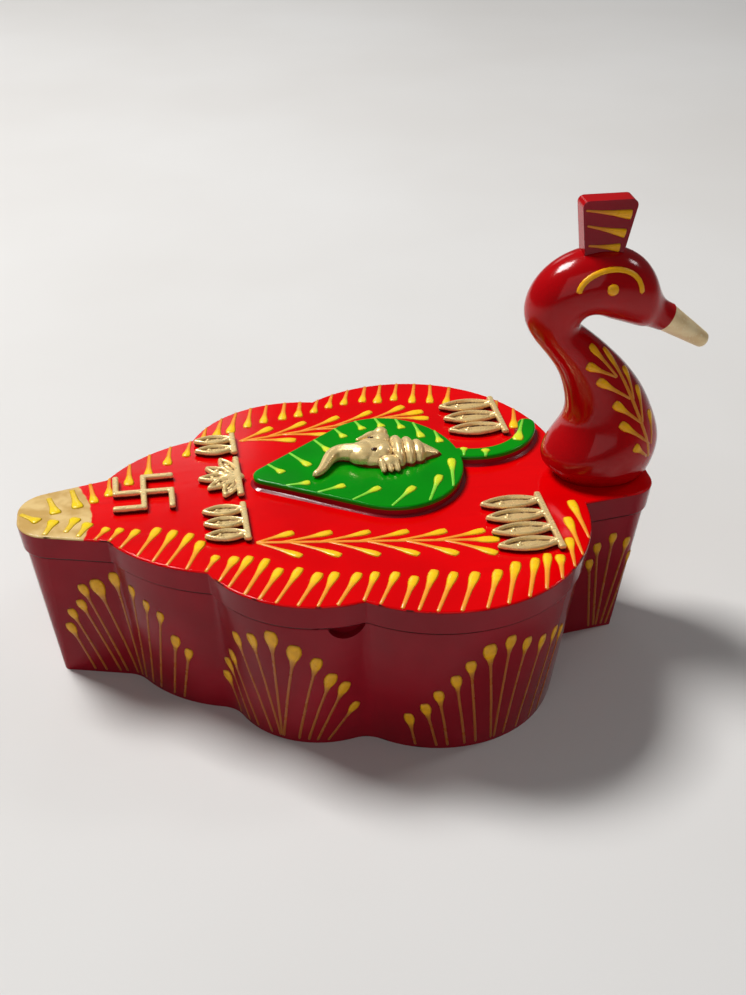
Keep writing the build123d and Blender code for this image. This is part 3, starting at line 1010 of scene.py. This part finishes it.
# %% Leaf strokes
leaf_ground = ground_of("leaf_plate")
leaf_inset = 0.6            # from the leaf's side to a stroke's tail
leaf_relief = 0.5


def leaf_stroke(marks, side, x, heading, length):
    """A stroke from the leaf's edge at x; heading in degrees, length in mm."""
    side_y = edge_y(leaf_ground, x, side, leaf_top - 2)
    start = at(x, side_y - side * leaf_inset, leaf_top)
    points = start, onward(start, heading, length)
    lay_stroke(marks, leaf_ground, points, 1.1, 3.4, leaf_relief)


marks = bmesh.new()
for x in (95.4, 106, 117.5, 130.6, 144.4, 154.7):
    leaf_stroke(marks, -1, x, 3 + 1.3 * (x - 95), 9 + 0.19 * (x - 95))
for x, length in ((90.5, 9), (99.2, 13), (109.5, 11.5), (118.4, 8.5), (127, 8), (135, 8),
                  (142.8, 8.5), (149, 13), (156, 10)):
    leaf_stroke(marks, 1, x, -60 - 0.5 * (x - 100), length)
for start, end, width in (((163, 10.6), (164.3, 16.6), 3.2), ((170.8, 8), (172, 14.2), 3.6),
                          ((191.6, 35.2), (185.2, 18.6), 4.6)):
    points = at(*start, leaf_top), at(*end, leaf_top)
    lay_stroke(marks, leaf_ground, points, 1.0, width, leaf_relief)
finish_marks(marks, "leaf_strokes", leaf_yellow, "lid")

# %% [markdown]
# ### Fans on the wall
#
# Each scallop of the wall carries a fan: tails gather at the foot and drops stand in an arch
# under the lid. On the straight tail a place is found by a ray from outside at a given x. On a
# round scallop it is an angle round the scallop's own middle and a height, which keeps the
# strokes evenly spread where the wall turns away from the eye.

# %% Wall fans
wall_ground = ground_of("box_wall")
wall_lean = 0.1423          # the wall moves in by this much for each mm down
foot_z = 1.0
wall_relief = 0.5


def beside(x, z, side):
    return at(x, edge_y(wall_ground, x, side, z), z)


def round_scallop(x, y, radius):
    """Places on a round scallop: an angle round its middle, from the head towards the side."""
    def place(turn, z, side):
        lean = radius - (lid_top - z) * wall_lean
        return at(x + lean * cos(radians(turn)), side * (y + lean * sin(radians(turn))), z)
    return place


def fan(marks, place, side, drops):
    """Drops are (foot, head, height of the head, width), places and sizes in mm or degrees."""
    for foot, head, z, width in drops:
        start, end = place(foot, foot_z, side), place(head, z, side)
        half = place(0.55 * foot + 0.45 * head, 0.5 * z, side)
        form = pin(min(0.5, 2.0 * width * mm / (end - start).length))
        lay_stroke(marks, wall_ground, (start, half, end), 1.0, width, wall_relief, form)


tail_fan = (
    (21.9, 14.1, 24.4, 3.9), (26.0, 15.4, 31.4, 3.5), (31.1, 19.0, 36.2, 3.7),
    (33.7, 20.4, 43.7, 3.9), (37.4, 25.3, 46.6, 5.6), (39.0, 32.2, 50.4, 4.7),
    (40.3, 38.2, 48.3, 3.5), (42.7, 42.9, 44.4, 3.3), (45.4, 47.5, 41.5, 3.4),
    (50.0, 52.1, 32.1, 4.1), (53.4, 56.4, 27.1, 3.5))
middle_fan = (
    (158, 163.5, 19.5, 3.8), (148, 160, 26.4, 4.0), (140, 153.7, 32.7, 4.2),
    (129, 145, 44.1, 4.2), (123, 133.3, 47.4, 4.4), (122, 121, 51.6, 5.3),
    (121, 108.7, 46.9, 5.5), (111, 97.7, 41.5, 4.4), (105, 90, 33.9, 4.7),
    (99.5, 82.2, 29.1, 4.3), (93, 75.4, 18.2, 3.5))
broad_fan = (
    (110, 113.3, 16.4, 3.9), (100, 106, 22.0, 3.9), (94.7, 100.3, 28.5, 3.9),
    (86.6, 93.4, 35.5, 4.1), (81.2, 87.7, 41.7, 4.0), (73.3, 80.4, 48.1, 5.3),
    (71.7, 71, 49.5, 4.4), (66.5, 62, 45.4, 4.1), (58.6, 52, 42.0, 4.0),
    (49, 42.4, 41.0, 4.0), (41.4, 34, 37.0, 3.8))
breast_fan = (
    (209.5, 205.5, 36.6, 3.4), (211.5, 207.8, 44.0, 3.4), (212.5, 213.9, 47.5, 3.4),
    (214.5, 220.3, 44.0, 3.4), (216.5, 222.5, 36.0, 3.2))
middle_scallop = round_scallop(103.1, 29.1, 42.5)
broad_scallop = round_scallop(145.4, 28.7, 52.4)
marks = bmesh.new()
for side in (-1, 1):
    fan(marks, beside, side, tail_fan)
    fan(marks, middle_scallop, side, middle_fan)
    fan(marks, broad_scallop, side, broad_fan)
    fan(marks, beside, side, breast_fan)
finish_marks(marks, "wall_fans", wall_yellow_thin_and_shaded, "box")

# %% [markdown]
# ### Marks on the neck and head
#
# The neck has a feather branch on each side, and the head an eyebrow and an eye. They are drawn
# once on the near side and once more with the side turned over. Their points only have to lie
# close to the carved neck, because each ring of a stroke finds the surface by itself.

# %% Neck and head marks
neck_ground = ground_of("neck")
neck_relief, eye_relief = 0.5, 0.6


def both_sides(*places):
    """The places in mm as points on the near side, then on the far side."""
    for side in (1, -1):
        yield [at(x, side * y, z) for x, y, z in places]


neck_stem = ((225.6, -13.4, 76.0), (219.5, -12.2, 101.0), (207.6, -4.2, 117.0))
neck_barbs = (
    ((212.4, -9.5, 107.4), (201.8, -6.9, 119.6)), ((212.0, -9.6, 107.4), (200.4, -10.2, 113.3)),
    ((217.5, -10.8, 99.0), (204.4, -11.1, 107.6)), ((221.8, -12.5, 89.8), (210.7, -12.5, 98.8)),
    ((225.2, -12.9, 81.4), (213.0, -14.5, 91.6)), ((224.6, -13.9, 76.9), (218.4, -16.0, 82.7)),
    ((226.2, -12.6, 81.0), (227.6, -8.4, 93.5)), ((222.3, -12.3, 89.8), (221.6, -6.6, 103.0)),
    ((218.8, -10.5, 98.3), (216.4, -4.8, 110.0)),
)
eyebrow = ((195.4, -11.3, 140.7), (195.6, -10.4, 145.5), (202.5, -9.8, 149.0),
           (208.5, -9.2, 150.2), (218.6, -9.6, 148.6), (217.6, -11.0, 139.0))
eye = ((204.9, -12.1, 141.7), (207.0, -12.1, 141.7), (209.1, -12.1, 141.7))
marks = bmesh.new()
for points in both_sides(*neck_stem):
    lay_stroke(marks, neck_ground, points, 1.5, 3.0, neck_relief, pin(0.25))
for barb in neck_barbs:
    for points in both_sides(*barb):
        lay_stroke(marks, neck_ground, points, 1.0, hand.uniform(3.1, 3.6), neck_relief)
for points in both_sides(*eyebrow):
    lay_stroke(marks, neck_ground, points, 1.6, 2.1, neck_relief, line)
for points in both_sides(*eye):
    lay_stroke(marks, neck_ground, points, 0.4, 4.2, eye_relief, dot)
finish_marks(marks, "neck_marks", neck_yellow, "lid")

# %% [markdown]
# ### The crest
#
# Each face of the crest carries three wedges that start thin on the tail side and end broad at the
# edge over the beak. The faces are flat, so the same strokes serve here, with another form.

# %% Crest marks
crest_ground = ground_of("crest")
crest_relief = 0.4
marks = bmesh.new()
for start, end, width in (((197.9, -3.5, 167.1), (214.2, -3.5, 164.8), 3.6),
                          ((198.8, -3.5, 161.7), (212.6, -3.5, 158.2), 3.3),
                          ((199.8, -3.5, 154.6), (211.0, -3.5, 153.2), 3.2)):
    for points in both_sides(start, end):
        lay_stroke(marks, crest_ground, points, 0.8, width, crest_relief, wedge)
finish_marks(marks, "crest_marks", neck_yellow, "lid")

# %% [markdown]
# ## Pooled lacquer
#
# Lacquer runs down and pools where the leaf meets the lid. A slice of the leaf's foot, spread
# outwards at the bottom, gives the soft corner that catches the light as one thin line.

# %% Pooled lacquer
pool_height = 0.7
pool_spread = 1.1
pool_crease = 35            # degrees; flatter corners are shaded smooth


def pooled_round(node, level):
    """The lowest slice of a CAD solid with its foot spread out; level is where it stands."""
    slice_ = bmesh.new()
    slice_.from_mesh(nodes[node].data)
    bmesh.ops.remove_doubles(slice_, verts=slice_.verts, dist=0.001 * mm)
    cut_flat(slice_, (level + pool_height) * mm, "below")
    slice_.normal_update()
    for vertex in slice_.verts:
        if vertex.co.z < (level + 0.01) * mm:
            out = Vector((vertex.normal.x, vertex.normal.y, 0)).normalized()
            vertex.co += out * (pool_spread * mm)
    bmesh.ops.recalc_face_normals(slice_, faces=slice_.faces)
    return slice_


# The pool takes the darker red of painted shade.
pool_lacquer = lacquer("pool_lacquer", shaded_red_bright, shaded_red_deep, pool_shine)
pool = finish_piece(pooled_round("leaf_plate", lid_top), "leaf_pool", pool_lacquer, "lid")
pool.data.set_sharp_from_angle(angle=radians(pool_crease))
